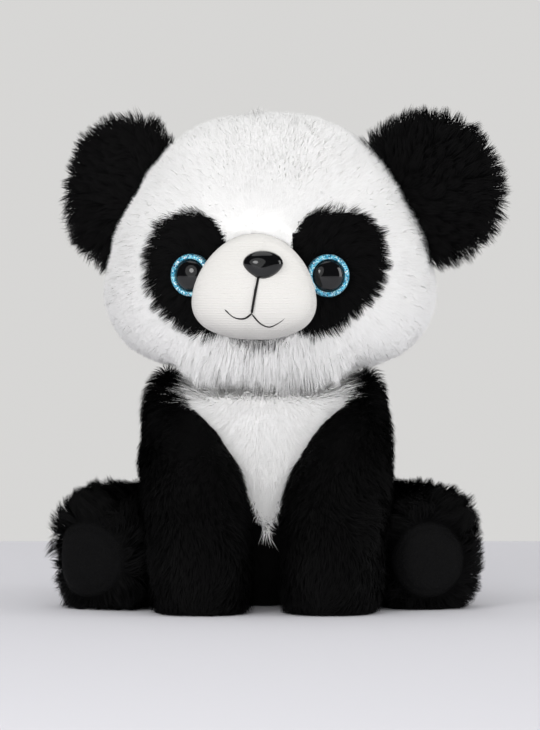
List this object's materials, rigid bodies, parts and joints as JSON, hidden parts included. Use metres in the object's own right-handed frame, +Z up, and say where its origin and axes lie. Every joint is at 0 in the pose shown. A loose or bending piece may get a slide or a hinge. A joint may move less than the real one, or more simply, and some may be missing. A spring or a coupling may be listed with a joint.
{
  "type": "plush panda",
  "caption": "Seated plush panda with a large head, round ears, black eye patches, moulded eyes and nose, and soft arms and legs that flex at their seams.",
  "frame": {"origin": "under the middle of the flat seat, on the surface that the panda sits on", "axes": "+Z up through the torso and head; the face looks along -Y; +X is towards the panda's own left side"},
  "size_m": [0.2225, 0.1706, 0.247],
  "materials": {
    "white_plush": "soft medium pile, matt",
    "black_plush": "long soft pile, matt with a faint sheen",
    "black_sole": "short smooth pile, matt",
    "white_knit": "smooth fine knit, matt",
    "fibre": "loose polyester fibre",
    "pouch_canvas": "plain weave",
    "label_satin": "blank satin ribbon",
    "black_gloss": "polished moulding",
    "blue_glitter": "glitter under a clear gloss",
    "white_washer": "moulded, matt",
    "black_thread": "twisted embroidery thread"
  },
  "bodies": {
    "torso": {"chest_panel_left": "white_plush", "chest_panel_right": "white_plush", "flank_panel_left": "black_plush", "flank_panel_right": "black_plush", "back_yoke": "black_plush", "lower_back_panel": "white_plush", "seat_panel": "black_plush", "torso_stuffing": "fibre", "pellet_pouch": "pouch_canvas", "care_label": "label_satin", "tail_cover": "white_plush", "tail_stuffing": "fibre"},
    "neck": {"neck_gusset": "white_plush", "neck_stuffing": "fibre"},
    "head": {"face_panel_left": "white_plush", "face_panel_right": "white_plush", "head_back_left": "white_plush", "head_back_right": "white_plush", "eye_patch_left": "black_plush", "eye_patch_right": "black_plush", "head_stuffing": "fibre", "muzzle_panel_left": "white_knit", "muzzle_panel_right": "white_knit", "muzzle_stuffing": "fibre", "nose": "black_gloss", "nose_washer": "white_washer", "mouth_stitch": "black_thread", "eye_dome_left": "black_gloss", "eye_ring_left": "blue_glitter", "eye_washer_left": "white_washer", "eye_dome_right": "black_gloss", "eye_ring_right": "blue_glitter", "eye_washer_right": "white_washer"},
    "ear_left": {"ear_front_left": "black_plush", "ear_back_left": "black_plush", "ear_stuffing_left": "fibre"},
    "ear_right": {"ear_front_right": "black_plush", "ear_back_right": "black_plush", "ear_stuffing_right": "fibre"},
    "arm_left": {"arm_outer_left": "black_plush", "arm_inner_left": "black_plush", "arm_stuffing_left": "fibre"},
    "arm_right": {"arm_outer_right": "black_plush", "arm_inner_right": "black_plush", "arm_stuffing_right": "fibre"},
    "leg_left": {"leg_upper_left": "black_plush", "leg_lower_left": "black_plush", "foot_pad_left": "black_sole", "leg_stuffing_left": "fibre"},
    "leg_right": {"leg_upper_right": "black_plush", "leg_lower_right": "black_plush", "foot_pad_right": "black_sole", "leg_stuffing_right": "fibre"}
  },
  "joints": [
    {"name": "neck_turn", "type": "hinge", "parent": "torso", "child": "neck", "pos_m": [0, 0.002, 0.116], "axis": [0, 0, 1], "range_deg": [-40, 40], "stiffness_Nm_per_rad": 0.2},
    {"name": "head_nod", "type": "hinge", "parent": "neck", "child": "head", "pos_m": [0, 0.002, 0.1195], "axis": [1, 0, 0], "range_deg": [-8, 8], "stiffness_Nm_per_rad": 0.8},
    {"name": "ear_fold_left", "type": "hinge", "parent": "head", "child": "ear_left", "pos_m": [0.06848, -0.00339, 0.206], "axis": [-0.3567, 0.0343, 0.9336], "range_deg": [-15, 15], "stiffness_Nm_per_rad": 0.01},
    {"name": "ear_fold_right", "type": "hinge", "parent": "head", "child": "ear_right", "pos_m": [-0.05928, 0.01042, 0.2075], "axis": [0.1557, -0.015, 0.9877], "range_deg": [-10, 18], "stiffness_Nm_per_rad": 0.01},
    {"name": "arm_swing_left", "type": "hinge", "parent": "torso", "child": "arm_left", "pos_m": [0.048, -0.012, 0.101], "axis": [-1, 0, 0], "range_deg": [0, 45], "stiffness_Nm_per_rad": 0.05},
    {"name": "arm_swing_right", "type": "hinge", "parent": "torso", "child": "arm_right", "pos_m": [-0.048, -0.012, 0.101], "axis": [-1, 0, 0], "range_deg": [0, 45], "stiffness_Nm_per_rad": 0.05},
    {"name": "leg_splay_left", "type": "hinge", "parent": "torso", "child": "leg_left", "pos_m": [0.043, 0.001, 0.029], "axis": [0, 0, 1], "range_deg": [0, 25], "stiffness_Nm_per_rad": 0.05},
    {"name": "leg_splay_right", "type": "hinge", "parent": "torso", "child": "leg_right", "pos_m": [-0.043, 0.001, 0.029], "axis": [0, 0, -1], "range_deg": [0, 25], "stiffness_Nm_per_rad": 0.05}
  ]
}
